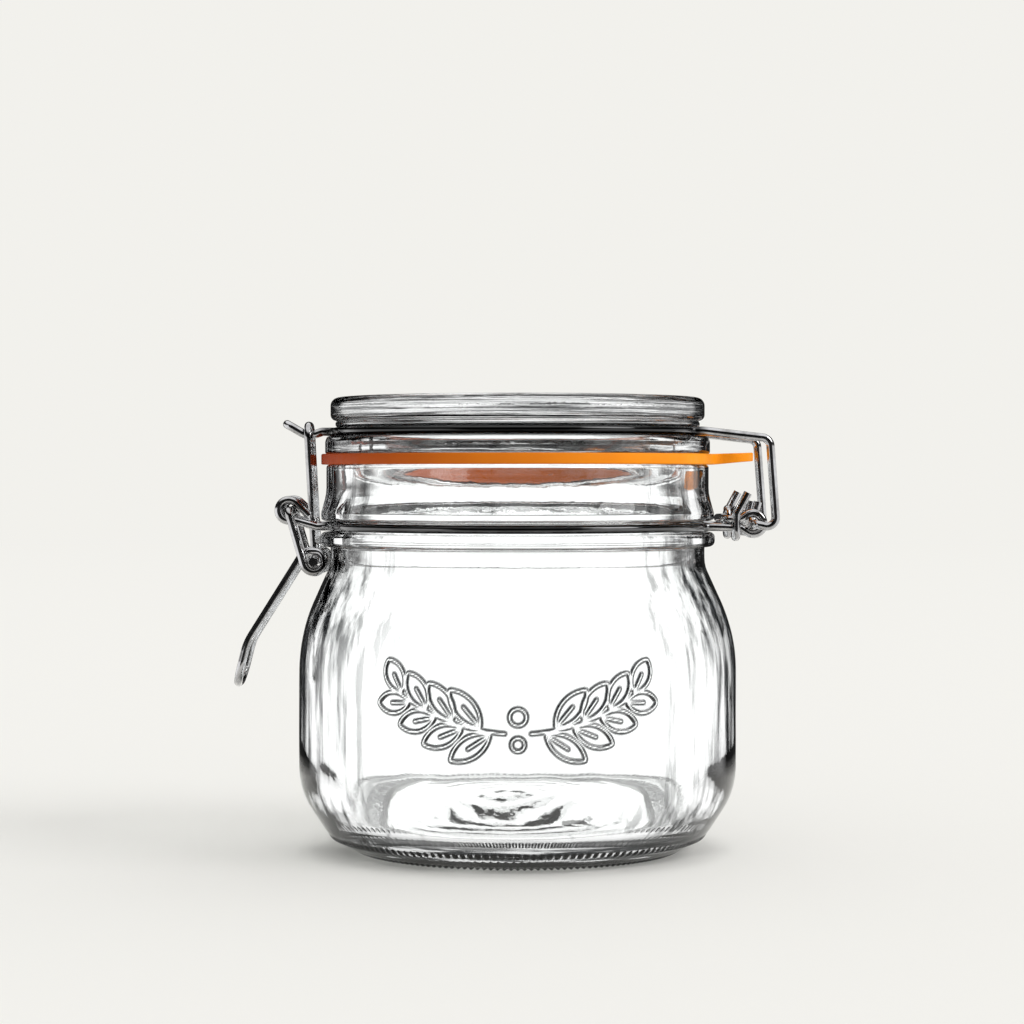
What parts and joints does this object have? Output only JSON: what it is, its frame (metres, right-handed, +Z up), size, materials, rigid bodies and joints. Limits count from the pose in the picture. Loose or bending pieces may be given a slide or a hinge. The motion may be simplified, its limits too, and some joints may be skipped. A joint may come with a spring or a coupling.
{
  "type": "clip-top jar",
  "caption": "Low, wide clip-top jar of clear glass with a rounded shoulder, a glass lid, an orange rubber seal with a pull tab, and a steel wire hinge and latch.",
  "frame": {"origin": "middle of the whole object's length, in the plane that the jar stands on; the jar's own axis is at x = +3.15 mm", "axes": "+Z up, -X towards the latch, +X towards the hinge, Y = 0 the plane of symmetry"},
  "size_m": [0.1316, 0.1068, 0.1103],
  "materials": {
    "glass": "clear pressed soda-lime glass, smooth and slightly wavy",
    "seal": "orange natural rubber, satin",
    "steel": "bright drawn steel wire"
  },
  "bodies": {
    "jar": {"glass_jar": "glass", "neck_wire": "steel", "hinge_tie_near": "steel", "hinge_tie_far": "steel"},
    "lid": {"glass_lid": "glass", "seal_ring": "seal", "lid_wire": "steel"},
    "lever": {"lever": "steel"},
    "link": {"link": "steel"}
  },
  "joints": [
    {"name": "lid_hinge", "type": "hinge", "parent": "jar", "child": "lid", "pos_m": [0.05975, 0, 0.0798], "axis": [0, 1, 0], "range_deg": [0, 110]},
    {"name": "lever_hinge", "type": "hinge", "parent": "jar", "child": "lever", "pos_m": [-0.05225, 0, 0.0829], "axis": [0, 1, 0], "range_deg": [0, 150]},
    {"name": "link_pivot", "type": "hinge", "parent": "lever", "child": "link", "pos_m": [-0.04605, 0, 0.0705], "axis": [0, 1, 0], "range_deg": [-300, 0]}
  ],
  "couplings": [
    {"joint": "link_pivot", "follows": "lever_hinge", "ratio": -2}
  ]
}
